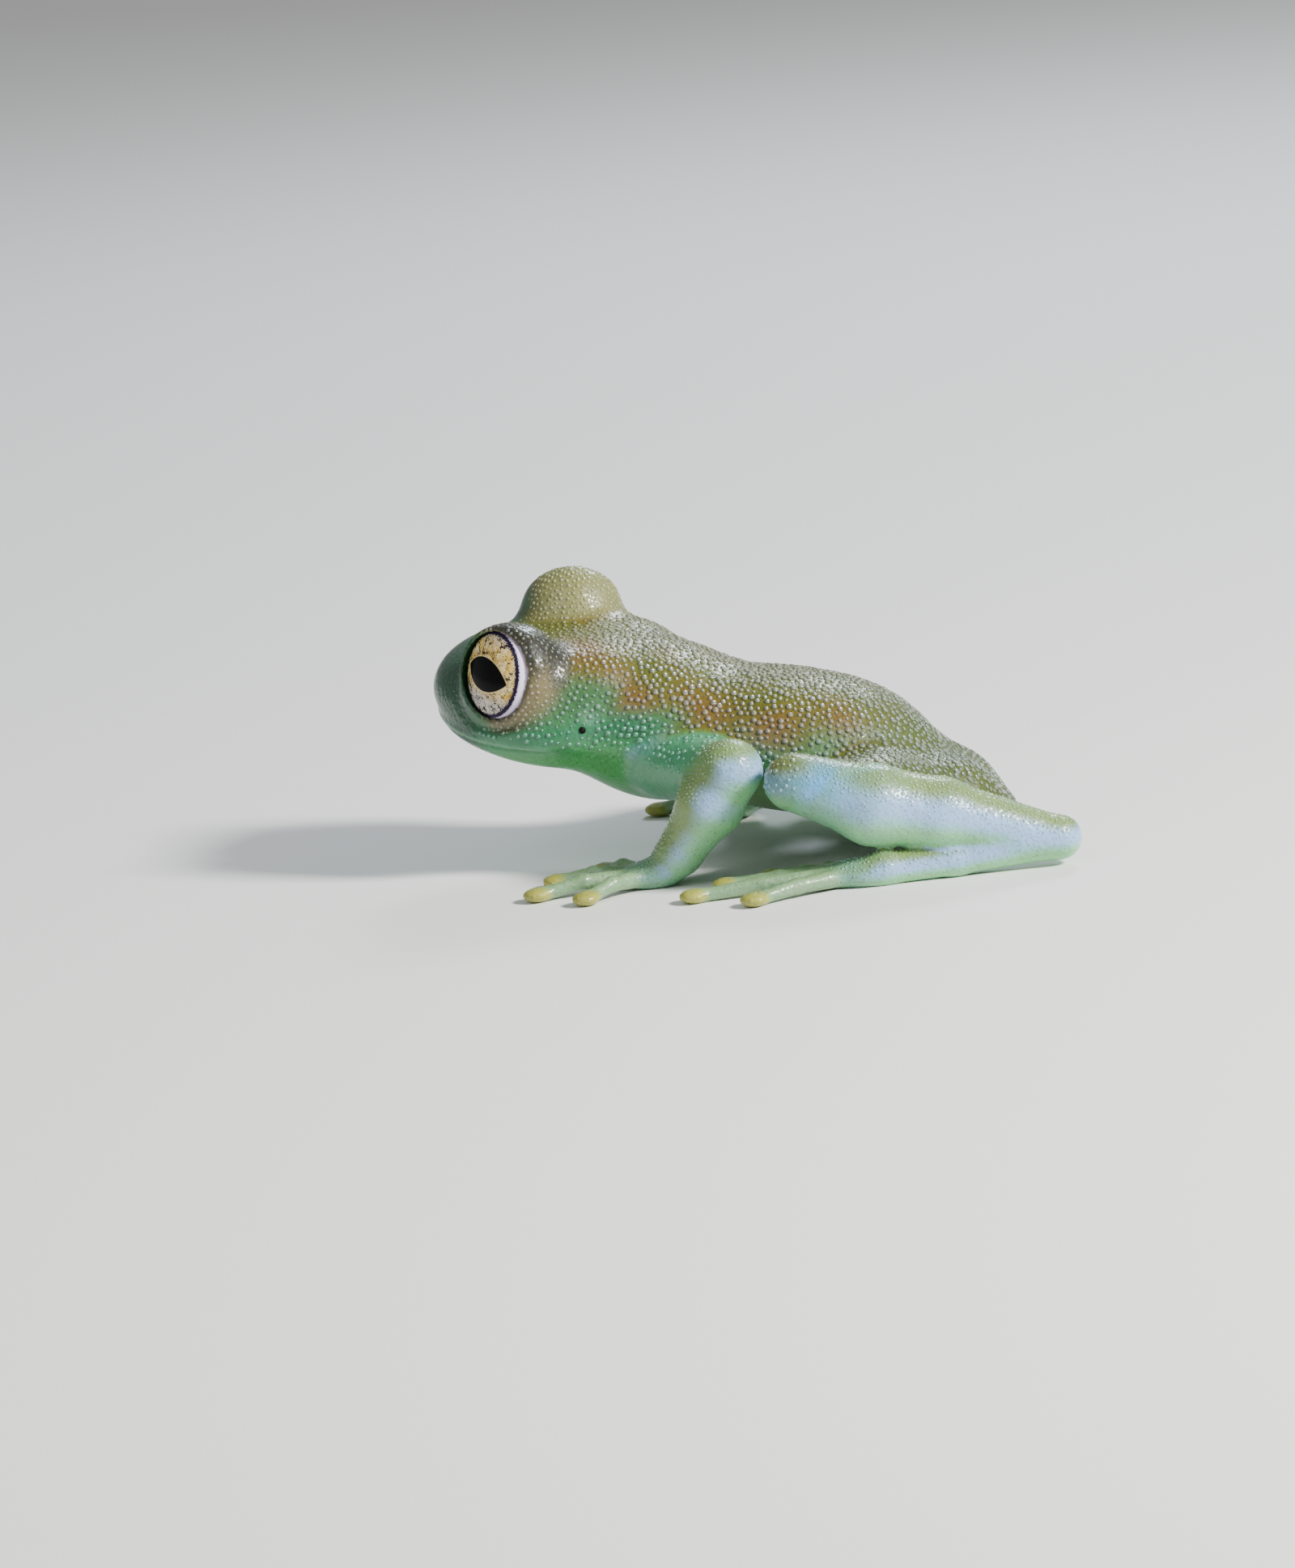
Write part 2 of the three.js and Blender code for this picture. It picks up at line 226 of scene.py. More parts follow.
def toward(sign, degrees):
    """A level direction that many degrees outward from straight ahead."""
    angle = math.radians(degrees)
    return np.array([sign * math.sin(angle), -math.cos(angle), 0])


def chain(joints):
    """Bones that join the places, each given with the flesh's radius there."""
    return [bone(a, b, ra, rb) for (a, ra), (b, rb) in zip(joints, joints[1:])]


def fan(centre, sign, digits, turn, lift):
    """Root, knuckle and tip of each digit."""
    lines = []
    for degrees, length in digits:
        direction = toward(sign, degrees + turn)
        root = centre + direction * 0.5
        tip = centre + direction * length
        tip[2] = DISC_LEVEL
        knuckle = root + (tip - root) * 0.55 + np.array([0, 0, lift])
        lines.append((root, knuckle, tip))
    return lines


def mix(a, b, share):
    return a + (b - a) * share


def limb_shapes(sign, hand_turn, foot_turn, arm, leg):
    """(part, shape, softness) for one side, from the body outward."""
    side = np.array([sign, 1, 1])
    shoulder, elbow, wrist = (np.array(point) * side for point in arm)
    hip, knee, heel, ankle = (np.array(point) * side for point in leg)
    palm = wrist + toward(sign, hand_turn)
    palm[2] = PALM_LEVEL
    sole = ankle + toward(sign, foot_turn) * 0.9
    sole[2] = SOLE_LEVEL
    ham = mix(hip, knee, 0.45) - [0, 0, 0.35]
    calf = mix(knee, heel, 0.3) + [0.1 * sign, 0, -0.2]
    shin = mix(knee, heel, 0.55)
    instep = mix(heel, ankle, 0.6)
    instep[2] = INSTEP_LEVEL
    swell = mix(elbow, wrist, 0.4)
    thigh = chain([(hip, 1.1), (ham, 1.3), (knee, 0.95)])
    shank = chain([(knee, 1.0), (calf, 1.45), (shin, 1.25), (heel, 0.75)])
    tarsus = chain([(heel, 0.75), (instep, 0.58), (ankle, 0.6)])
    shapes = [("thigh", part, 1.2) for part in thigh]
    shapes += [("shank", part, 0.35) for part in shank]
    shapes += [("tarsus", part, 0.3) for part in tarsus]
    shapes += [("foot", bone(ankle, sole, 0.6, 0.5), 0.3), ("foot", lump(sole, (0.95, 1.0, 0.5)), 0.4)]
    shapes += [("upper_arm", bone(shoulder, elbow, 1.15, 1.05), 0.8)]
    forearm = chain([(elbow, 1.08), (swell, 1.2), (wrist, 0.82)])
    shapes += [("forearm", part, 0.35) for part in forearm]
    shapes += [("hand", bone(wrist, palm, 0.76, 0.55), 0.4), ("hand", lump(palm, (0.95, 0.95, 0.5)), 0.4)]
    for part, lines in (
        ("finger", fan(palm, sign, FINGERS, hand_turn, 0.2)),
        ("toe", fan(sole, sign, TOES, foot_turn, 0.12)),
    ):
        for root, knuckle, tip in lines:
            shapes.append((part, bone(root, knuckle, DIGIT_RADIUS + 0.05, DIGIT_RADIUS - 0.02), 0.3))
            shapes.append((part, bone(knuckle, tip, DIGIT_RADIUS - 0.02, DIGIT_RADIUS - 0.06), 0.15))
            shapes.append(("disc", lump(tip + [0, 0, 0.04], (0.52, 0.52, 0.24)), 0.2))
    return shapes


limb_list = [item for limb in LIMBS.values() for item in limb_shapes(**limb)]
body_list = [("body", part, 1.6) for part in HEAD_LUMPS + TRUNK_LUMPS]
body_list += [("lid", part, 0.85) for part in HOODS] + [("lid", part, 0.12) for part in RIMS]
body_list += [("body", part, 1.0) for part in TEMPLES]
print(len(body_list), "lumps in the body and", len(limb_list), "in the limbs")

# %% [markdown]
# ## Sockets
# Each eyeball sits in a hollow, and the lids open as a slanted round window that shows more of
# the white behind the iris than in front. The window is cut with a soft maximum, so that the
# rims of the lids come out rounded. The hollow follows the ball closely.

# %% The cut for an eye
EYE_RADIUS = 1.72
SOCKET_RADIUS = EYE_RADIUS + 0.02
OPENING_DEPTH = 0.73  # from the eye's centre to the plane of the lids' rim
LID_ROUNDING = 0.16
WINDOW_REACH = 2.12  # from the eye's centre to where the window ends
EDGE_START = 1.85  # from here on out the window's edge is rounder, where it ends in the snout
EDGE_BAND = 0.25
EDGE_ROUNDING = 0.3
FAR = 3.0  # the field's value well outside the flesh
MARGIN = 0.6  # how far beyond its softness a shape is worked out
EYE_REACH = 3  # how far round an eye the cut is worked out


def carve_eye(field, points, side):
    """The field with the lids' window and the socket of that side cut out."""
    offset = points - BALLS[side]
    away = np.linalg.norm(offset, axis=-1)
    window = np.maximum(away - WINDOW_REACH, OPENING_DEPTH - offset @ OPENINGS[side])
    outer = np.clip((away - EDGE_START) / EDGE_BAND, 0, 1)
    opened = -soft_min(-field, window, LID_ROUNDING + EDGE_ROUNDING * outer)
    return np.maximum(opened, SOCKET_RADIUS - away)


def flesh(points):
    """The whole field at loose points."""
    field = np.full(points.shape[:-1], FAR)
    for _, (distance, low, high), softness in body_list + limb_list:
        reach = softness + MARGIN
        near = ((points > low - reach) & (points < high + reach)).all(-1)
        field[near] = soft_min(field[near], distance(points[near]), softness)
    for side in EYES:
        near = np.linalg.norm(points - EYES[side], axis=-1) < EYE_REACH
        field[near] = carve_eye(field[near], points[near], side)
    return np.maximum(field, -points[..., 2])


# %% [markdown]
# ## From field to skin
# The field is sampled on a fine grid, and OpenVDB turns its zero level into quads. Faces round
# the eyes, nose and mouth are then divided once more, and every vertex slides along the field's
# slope until it lies on the true surface.

# %% Sample the field and make the mesh
VOXEL = 0.155
SPARE = 0.5  # room round the solids' box
model_low = np.array(cad_box[0]) / MM - shift - SPARE
model_high = np.array(cad_box[1]) / MM - shift + SPARE
axes = [np.arange(model_low[i], model_high[i], VOXEL) for i in range(3)]
clay = np.full([len(axis) for axis in axes], FAR, np.float32)


def window_of(low, high, reach):
    """The part of the grid that a box covers, with some reach round it."""
    ends = [np.searchsorted(axes[i], (low[i] - reach, high[i] + reach)) for i in range(3)]
    return tuple(slice(*pair) for pair in ends)


def points_in(window):
    return np.stack(np.meshgrid(*[axes[i][window[i]] for i in range(3)], indexing="ij"), -1)


for _, (distance, low, high), softness in body_list + limb_list:
    window = window_of(low, high, softness + MARGIN)
    clay[window] = soft_min(clay[window], distance(points_in(window)), softness)
for side, centre in EYES.items():
    window = window_of(centre, centre, EYE_REACH)
    clay[window] = carve_eye(clay[window], points_in(window), side)
clay = np.maximum(clay, -axes[2][None, None, :]).astype(np.float32)

grid = openvdb.FloatGrid()
grid.copyFromArray(clay)
vertices, _, quads = grid.convertToPolygons(isovalue=0.0, adaptivity=0.0)
vertices = model_low + vertices * VOXEL
print("skin", len(vertices), "vertices", len(quads), "quads")


def slope_of(points, reach=0.02):
    """The field's unit slope, which is the way out of the flesh."""
    steps = np.eye(3) * reach
    slope = np.stack([flesh(points + step) - flesh(points - step) for step in steps], -1)
    return slope / np.maximum(np.linalg.norm(slope, axis=-1, keepdims=True), 1e-9)


def make_object(name, points, faces):
    """A mesh object from points in the frog's millimetres, with its place in its mesh."""
    mesh = bpy.data.meshes.new(name)
    places = (np.asarray(points) + shift) * MM
    mesh.from_pydata(places.tolist(), [], [list(face) for face in faces])
    obj = bpy.data.objects.new(name, mesh)
    bpy.context.collection.objects.link(obj)
    mesh.shade_smooth()
    return obj


def points_of(obj):
    """The vertices of an object in the frog's millimetres."""
    flat = np.empty(len(obj.data.vertices) * 3, np.float32)
    obj.data.vertices.foreach_get("co", flat)
    return flat.reshape(-1, 3).astype(float) / MM - shift


def place_points(obj, points):
    obj.data.vertices.foreach_set("co", ((points + shift) * MM).astype(np.float32).ravel())
    obj.data.update()


skin = make_object("skin", vertices, quads[:, ::-1])


# %% Divide the face
FINE_MOUTH = 0.45  # height of the finer band on each side of the mouth's line
MOUTH_END = -6.3
FINE_EYE = 2.25  # reach of the finer faces round an eye's centre
FINE_NOSE = -10.9


def mouth_height(y):
    """The line of the mouth, which rises a little to the front."""
    return 5.93 - 0.087 * (y + 10.2) - 0.05 * np.sin((y + 12.5) * 1.1)


def distance_to(points, places):
    """The least distance from each point to any of the places."""
    return np.min([np.linalg.norm(points - place, axis=1) for place in places], axis=0)


def near_face(points):
    """True round the eyes, nostrils and mouth, where the skin needs finer faces."""
    level = to_head(points)
    mouth = np.abs(level[:, 2] - mouth_height(level[:, 1])) < FINE_MOUTH
    mouth &= level[:, 1] < MOUTH_END
    eyes = distance_to(points, EYES.values()) < FINE_EYE
    return mouth | eyes | (level[:, 1] < FINE_NOSE)


bm = bmesh.new()
bm.from_mesh(skin.data)
centres = np.array([face.calc_center_median() for face in bm.faces]) / MM - shift
chosen = near_face(centres)
bm.faces.ensure_lookup_table()
edges = {edge for i in np.nonzero(chosen)[0] for edge in bm.faces[i].edges}
bmesh.ops.subdivide_edges(bm, edges=list(edges), cuts=1, use_grid_fill=True)
bm.to_mesh(skin.data)
bm.free()
skin.data.shade_smooth()

points = points_of(skin)
for _ in range(2):
    points -= slope_of(points) * flesh(points)[:, None]
normals = slope_of(points)
print("skin after dividing", len(points))

# %% [markdown]
# ## Lips, nostrils and folds
# The finest forms are small moves of the skin along its own normal: a groove for the closed
# mouth with the upper lip standing a little over it, a nostril on each side with a raised rim,
# and the round eardrum behind the eye.


# %% Fine forms of the face
NOSTRIL = (0.95, -12.05, 7.35)  # the left one, in the level head
EARDRUM = (3.9, -5.4, 6.8)


def bell(distance, width):
    """1 at no distance, and falling smoothly over that width."""
    return np.exp(-((distance / width) ** 2))


def ease(value, low, high):
    """0 below low, 1 above high, and smooth between them."""
    share = np.clip((value - low) / (high - low), 0, 1)
    return share * share * (3 - 2 * share)


level = to_head(points)
mouth_gap = level[:, 2] - mouth_height(level[:, 1])
in_mouth = (1 - ease(level[:, 1], -7.2, -6.7)) * (np.abs(mouth_gap) < 0.6)
move = -0.11 * bell(mouth_gap, 0.055) * in_mouth
move += 0.05 * bell(mouth_gap - 0.16, 0.11) * in_mouth

nose_distance = distance_to(level, [on_side(sign, NOSTRIL) for sign in SIDES.values()])
move += 0.06 * bell(nose_distance - 0.24, 0.14) - 0.13 * bell(nose_distance, 0.13)

ear_distance = distance_to(level, [on_side(sign, EARDRUM) for sign in SIDES.values()])
move += 0.05 * bell(ear_distance - 0.42, 0.12)
points += normals * move[:, None]
points[:, 2] = np.maximum(points[:, 2], 0.0)
place_points(skin, points)
normals = slope_of(points)
print("face shaped, with moves from", move.min().round(3), "to", move.max().round(3), "mm")

# %% [markdown]
# ## Which skin is where
# The colours change from place to place: olive on head and back, orange brown in patches
# behind the eyes and along the back's sides, green on cheeks, throat and shoulders, and pale
# blue to lilac on the limbs. Each vertex gets weights from the flesh that it belongs to, and
# one colour mixed by them. The granules read the same colours later, so skin and granules
# carry the same markings.


# %% Weights of the zones
def nearest_of(parts):
    """The least distance from each vertex to any shape of the named parts."""
    best = np.full(len(points), 9.0)
    for part, (distance, low, high), _ in body_list + limb_list:
        if part in parts:
            near = ((points > low - 3) & (points < high + 3)).all(1)
            best[near] = np.minimum(best[near], distance(points[near]))
    return best


level = to_head(points)
up = normals[:, 2]
smooth_flesh = {part for part, _, _ in limb_list} - {"thigh"}  # the thigh is covered as the flank is
limb = ease(nearest_of({"body", "lid", "thigh"}) - nearest_of(smooth_flesh), -0.25, 0.35)
upper = limb * ease(nearest_of({"forearm", "hand", "finger"}) - nearest_of({"upper_arm"}), -0.2, 0.6)
upper *= (nearest_of({"upper_arm"}) < 0.5) * (points[:, 1] < 2)
digits = {"finger", "toe", "disc"}
digit = ease(nearest_of({"hand", "foot", "tarsus", "forearm"}) - nearest_of(digits), -0.1, 0.5)
hand = ease(nearest_of({"forearm", "tarsus"}) - nearest_of({"hand", "foot"} | digits), -0.3, 0.6)
disc = ease(0.12 - nearest_of({"disc"}), 0.0, 0.14)
in_forearm = limb * (nearest_of({"forearm"}) < nearest_of({"thigh", "shank", "foot", "toe"}))
eye_distance = distance_to(points, EYES.values())
lid = (1 - ease(eye_distance, LID_RADIUS, LID_RADIUS + 0.65)) * ease(level[:, 2], 6.0, 6.6)
snout = 1 - ease(level[:, 1], -10.6, -9.2)
belly = ease(-up, 0.15, 0.6) * (1 - limb)
throat = ease(6.4 - level[:, 2], 0, 1.3) * (1 - ease(points[:, 1], -3.5, -1.0)) * (1 - limb)
rear = ease(points[:, 1], 1.5, 6.5)

# %% [markdown]
# ## The colours
# Each colour is named once, as it looks on a screen, and painted over the last by its weight.
# Soft light on a pale floor washes colours out, so they are deepened at the end, the body's
# more than the limbs'. The near lid is darker on top than the far one.


# %% Mix the colours
def srgb(red, green, blue):
    """A colour given as it looks on a screen, in linear light."""
    value = np.array([red, green, blue]) / 255
    return np.where(value <= 0.04045, value / 12.92, ((value + 0.055) / 1.055) ** 2.4)


def paint(base, colour, weight):
    """The base colours with another laid over them by a weight for each vertex."""
    return base + (colour - base) * np.clip(weight, 0, 1)[:, None]


OLIVE = srgb(128, 132, 22)
ORANGE = srgb(170, 104, 20)
DEEP_OLIVE = srgb(106, 122, 44)
GREEN = srgb(56, 152, 114)
LEAF_GREEN = srgb(98, 180, 114)
# the snout's emerald green, darkened with painted shade
SHADED_EMERALD = srgb(24, 112, 78)
FROST_PATCH = srgb(180, 212, 200)
PALE_LIP = srgb(140, 186, 158)
SHOULDER = srgb(84, 148, 108)
BELLY = srgb(150, 182, 140)
LIMB_TOP = srgb(122, 146, 84)
LIMB_SIDE = srgb(154, 188, 228)
LIMB_UNDER = srgb(140, 204, 150)
KNEE_BLUE = srgb(70, 156, 206)
HAND_GREEN = srgb(116, 164, 138)
DIGIT_GREEN = srgb(134, 162, 114)
DISC_YELLOW = srgb(172, 166, 58)
LID_CREAM = srgb(158, 142, 104)
LID_DARK = srgb(44, 46, 20)
LID_FAR = srgb(164, 166, 120)

BODY_DEPTH = 1.6  # over 1 deepens the colours
LIMB_DEPTH = 1.1
tint = np.tile(OLIVE, (len(points), 1))
waver = points[:, 0] * 1.9 + 1.1 * np.sin(points[:, 1] * 0.9)
blotch = np.sin(waver) * np.sin(points[:, 1] * 1.3 + 0.6)
tint = paint(tint, DEEP_OLIVE, rear * 0.8)
side_low = ease(0.75 - up, 0, 0.45)
tint = paint(tint, SHOULDER, side_low * (1 - ease(points[:, 1], 4, 7)) * 0.85)
band = bell(up - 0.62, 0.26) * ease(points[:, 1], -7.5, -5) * (1 - ease(points[:, 1], 2.5, 5.5))
tint = paint(tint, ORANGE, band * (0.22 + 0.26 * blotch))
temple = bell(distance_to(points, [on_head(1.9, -6.4, 8.4)]), 1.3)
temple += bell(distance_to(points, [on_head(-1.5, -7.2, 9.2)]), 0.7)
tint = paint(tint, ORANGE, temple * 0.42)
cheek = ease(7.1 - level[:, 2], 0, 0.9) * (1 - ease(points[:, 1], -4.5, -1.5))
tint = paint(tint, GREEN, cheek)
tint = paint(tint, LEAF_GREEN, throat)
tint = paint(tint, BELLY, belly * ease(points[:, 1], -3, 0))
# The snout gets its emerald green darkened by painted shade, for a front of the head turned from the
# light; the front rim of the lids takes some of it too.
tint = paint(tint, SHADED_EMERALD, snout)
tint = paint(tint, FROST_PATCH, bell(ear_distance, 0.4) * 0.35)
tint = paint(tint, PALE_LIP, bell(mouth_gap - 0.1, 0.14) * in_mouth * 0.8)
limb_tint = np.tile(LIMB_SIDE, (len(points), 1))
limb_tint = paint(limb_tint, LIMB_TOP, ease(up, 0.25, 0.7))
limb_tint = paint(limb_tint, LIMB_UNDER, ease(-up, 0.0, 0.55))
front = ease(-normals[:, 1], -0.1, 0.5)
limb_tint = paint(limb_tint, LIMB_TOP, front * in_forearm)
for joints in LIMBS.values():
    below_knee = on_side(joints["sign"], joints["leg"][1]) + [0.6 * joints["sign"], 1.2, 0]
    limb_tint = paint(limb_tint, KNEE_BLUE, bell(distance_to(points, [below_knee]), 1.1) * 0.8)
limb_tint = paint(limb_tint, GREEN, upper * 0.8)
limb_tint = paint(limb_tint, HAND_GREEN, hand * 0.8)
limb_tint = paint(limb_tint, DIGIT_GREEN, digit * 0.7)
limb_tint = paint(limb_tint, DISC_YELLOW, disc * 0.9)
tint = tint + (limb_tint - tint) * limb[:, None]
lid_coloured = lid * ease(level[:, 1], -9.9, -9.0)
tint = paint(tint, LID_CREAM, lid_coloured * 0.9)
lid_top = lid_coloured * ease(up, -0.05, 0.4) * 0.9
tint = paint(tint, LID_DARK, lid_top * (points[:, 0] > 0))
tint = paint(tint, LID_FAR, lid_top * (points[:, 0] < 0))
tint = tint ** (BODY_DEPTH + (LIMB_DEPTH - BODY_DEPTH) * limb)[:, None]

FROST = srgb(232, 244, 255)
FROST_GREEN = srgb(190, 244, 228)
FROST_OLIVE = srgb(216, 222, 160)
FROST_LIMB = srgb(204, 226, 248)
LID_STRAW = srgb(224, 224, 120)
LID_FROST = srgb(244, 232, 210)
frost = np.tile(FROST, (len(points), 1))
crown = ease(level[:, 2], 7.2, 8.2) * (1 - ease(points[:, 1], -7, -4.5))
frost = paint(frost, FROST_OLIVE, crown * 0.8)
frost = paint(frost, FROST_GREEN, cheek * 0.7)
frost = paint(frost, FROST_LIMB, limb)
frost = paint(frost, LID_FROST, lid)
frost = paint(frost, LID_STRAW, lid_top * 1.1)


def store(obj, name, values, kind):
    """One value for each vertex, kept in the mesh for materials and Geometry Nodes."""
    attribute = obj.data.attributes.new(name, kind, "POINT")
    if kind == "FLOAT":
        attribute.data.foreach_set("value", np.asarray(values, np.float32))
    else:
        rgba = np.ones((len(values), 4), np.float32)
        rgba[:, :3] = values
        attribute.data.foreach_set("color", rgba.ravel())


store(skin, "tint", tint, "FLOAT_COLOR")
store(skin, "frost", frost, "FLOAT_COLOR")
print("tint from", tint.min(0).round(3), "to", tint.max(0).round(3))

# %% [markdown]
# ## Skin
# A glass frog's skin is thin, moist and a little see-through. Light enters it and comes out
# again nearby, so the material has subsurface scattering with a reach of a fraction of a
# millimetre and a clear wet coat. Fine dark freckles and a pebbled bump come from noise and
# Voronoi cells on Object coordinates.


# %% Helpers for materials
def new_material(name):
    material = bpy.data.materials.new(name)
    material.use_nodes = True
    nodes, links = material.node_tree.nodes, material.node_tree.links
    return material, nodes, links, nodes["Principled BSDF"]


def node(nodes, kind, **values):
    """A new node of that kind, with its settings."""
    made = nodes.new(kind)
    for key, value in values.items():
        setattr(made, key, value)
    return made


def texture_at(nodes, links, kind, scale, **values):
    """A texture on Object coordinates, with its scale in cells for each metre."""
    texture = node(nodes, kind, **values)
    place = nodes.get("Place") or node(nodes, "ShaderNodeTexCoord", name="Place")
    links.new(place.outputs["Object"], texture.inputs["Vector"])
    texture.inputs["Scale"].default_value = scale
    return texture


def remap(nodes, links, source, low, high, to_low=0.0, to_high=1.0):
    """The source stretched from one range to another, and kept within it."""
    made = node(nodes, "ShaderNodeMapRange", clamp=True)
    links.new(source, made.inputs["Value"])
    ranges = {"From Min": low, "From Max": high, "To Min": to_low, "To Max": to_high}
    for key, value in ranges.items():
        made.inputs[key].default_value = value
    return made.outputs["Result"]


def mixed(nodes, links, factor, first, second, blend="MIX"):
    """Two colours mixed, where each may be a socket or a fixed colour."""
    made = node(nodes, "ShaderNodeMix", data_type="RGBA", blend_type=blend)
    for key, value in ((0, factor), (6, first), (7, second)):
        if isinstance(value, bpy.types.NodeSocket):
            links.new(value, made.inputs[key])
        elif key == 0:
            made.inputs[key].default_value = value
        else:
            made.inputs[key].default_value = (*value, 1)
    return made.outputs[2]


def moist(shader, roughness, scatter, reach, coat):
    """The settings of a thin wet skin."""
    shader.inputs["Roughness"].default_value = roughness
    shader.inputs["Subsurface Weight"].default_value = scatter
    shader.inputs["Subsurface Radius"].default_value = (1.0, 0.9, 0.6)
    shader.inputs["Subsurface Scale"].default_value = reach * MM
    shader.inputs["Coat Weight"].default_value = coat
    shader.inputs["Coat Roughness"].default_value = 0.08


# %% The skin's material
def skin_material():
    material, nodes, links, shader = new_material("moist skin")
    moist(shader, 0.5, 0.35, 0.35, 0.5)
    colour = node(nodes, "ShaderNodeAttribute", attribute_name="tint").outputs["Color"]
    patches = texture_at(nodes, links, "ShaderNodeTexNoise", 900)
    patches.inputs["Detail"].default_value = 4
    shade = remap(nodes, links, patches.outputs["Fac"], 0.35, 0.7, 0.0, 0.3)
    colour = mixed(nodes, links, shade, colour, (0.35, 0.45, 0.3), "MULTIPLY")
    freckles = texture_at(nodes, links, "ShaderNodeTexVoronoi", 7500)
    dots = remap(nodes, links, freckles.outputs["Distance"], 0.12, 0.3, 0.5, 0.0)
    colour = mixed(nodes, links, dots, colour, (0.03, 0.035, 0.01))
    links.new(colour, shader.inputs["Base Color"])
    pebbles = texture_at(nodes, links, "ShaderNodeTexVoronoi", 6000, feature="SMOOTH_F1")
    fine = texture_at(nodes, links, "ShaderNodeTexNoise", 9000)
    height = node(nodes, "ShaderNodeMath", operation="ADD")
    links.new(remap(nodes, links, pebbles.outputs["Distance"], 0, 0.6, 1, 0), height.inputs[0])
    links.new(fine.outputs["Fac"], height.inputs[1])
    bump = node(nodes, "ShaderNodeBump")
    bump.inputs["Strength"].default_value = 0.35
    bump.inputs["Distance"].default_value = 0.05 * MM
    links.new(height.outputs[0], bump.inputs["Height"])
    for normal in ("Normal", "Coat Normal"):
        links.new(bump.outputs["Normal"], shader.inputs[normal])
    return material


skin.data.materials.append(skin_material())
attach(skin, "root")
limb_nodes = ("thigh", "shank", "tarsus", "foot", "upper_arm", "forearm", "hand")
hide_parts("head", "torso", *(f"{part}_{side}" for side in SIDES for part in limb_nodes))

# %% [markdown]
# ## Eyes
# The eye is a wet ball with the iris as a pattern: gold with black veins and specks above,
# greyer below, a violet black ring round it, and white beyond. The pupil is a lens lying along
# the frog with a point at each end. The pattern is drawn on a flat map of the ball, rolled
# out from the line of sight, so both eyes share a material. The ball's front is flatter than a
# sphere, because the iris of a frog lies nearly flat under the clear cornea.

# %% The eyeballs
EYE_RINGS = 72
EYE_SIDES = 96
IRIS_RADIUS = 1.6
IRIS_RISE = 0.45  # how far the clear front stands over the plane of the iris's edge
MAP_REACH = 10.5  # millimetres across the whole map
PUPIL_AXIS = (0.47, 0.86, -0.19)  # rearward along the left pupil, in the level head

cap_radius = (IRIS_RADIUS**2 + IRIS_RISE**2) / (2 * IRIS_RISE)
edge_angle = math.asin(IRIS_RADIUS / EYE_RADIUS)
edge_depth = EYE_RADIUS * math.cos(edge_angle)


def profile(share):
    """Distance from the line of sight, depth along it and distance on the map."""
    if share < 0.5:
        radius = IRIS_RADIUS * share * 2
        rise = math.sqrt(cap_radius**2 - radius**2) - (cap_radius - IRIS_RISE)
        return radius, edge_depth + rise, radius
    angle = edge_angle + (math.pi - edge_angle) * (share * 2 - 1)
    on_map = IRIS_RADIUS + (angle - edge_angle) * EYE_RADIUS
    return EYE_RADIUS * math.sin(angle), EYE_RADIUS * math.cos(angle), on_map


def eyeball(side):
    """The ball of one side, with its map."""
    look = LOOKS[side]
    rearward = head_turn @ unit(on_side(SIDES[side], PUPIL_AXIS))
    along = unit(rearward - look * (rearward @ look))
    across = np.cross(look, along)
    if across[2] < 0:
        across = -across
    middle = BALLS[side]
    rows, maps = [], []
    for ring in range(EYE_RINGS + 1):
        radius, depth, on_map = profile(ring / EYE_RINGS)
        for step in range(EYE_SIDES):
            turn = math.tau * step / EYE_SIDES
            sideways = along * math.cos(turn) + across * math.sin(turn)
            rows.append(middle + look * depth + sideways * radius)
            maps.append([0.5 + wave(turn) * on_map / MAP_REACH for wave in (math.cos, math.sin)])
    faces = []
    for ring in range(EYE_RINGS):
        for step in range(EYE_SIDES):
            a = ring * EYE_SIDES + step
            b = ring * EYE_SIDES + (step + 1) % EYE_SIDES
            faces.append((a, b, b + EYE_SIDES, a + EYE_SIDES))
    ball = make_object(f"eyeball_{side}", rows, faces)
    layer = ball.data.uv_layers.new(name="iris")
    corners = np.array(maps)[[loop.vertex_index for loop in ball.data.loops]]
    layer.data.foreach_set("uv", corners.astype(np.float32).ravel())
    bm = bmesh.new()
    bm.from_mesh(ball.data)
    bmesh.ops.remove_doubles(bm, verts=bm.verts, dist=1e-7)
    bmesh.ops.recalc_face_normals(bm, faces=bm.faces)
    bm.to_mesh(ball.data)
    bm.free()
    ball.data.shade_smooth()
    print(ball.name, len(ball.data.vertices), "vertices")
    return ball


# %% The iris as a pattern on the eye's map
PUPIL_LONG = 1.2  # from the middle to the pupil's points
PUPIL_SHORT = 0.62


def math_node(nodes, links, operation, first, second=0.0):
    """A sum, product or the like of two sockets or numbers."""
    made = node(nodes, "ShaderNodeMath", operation=operation)
    for key, value in ((0, first), (1, second)):
        if isinstance(value, bpy.types.NodeSocket):
            links.new(value, made.inputs[key])
        else:
            made.inputs[key].default_value = value
    return made.outputs[0]


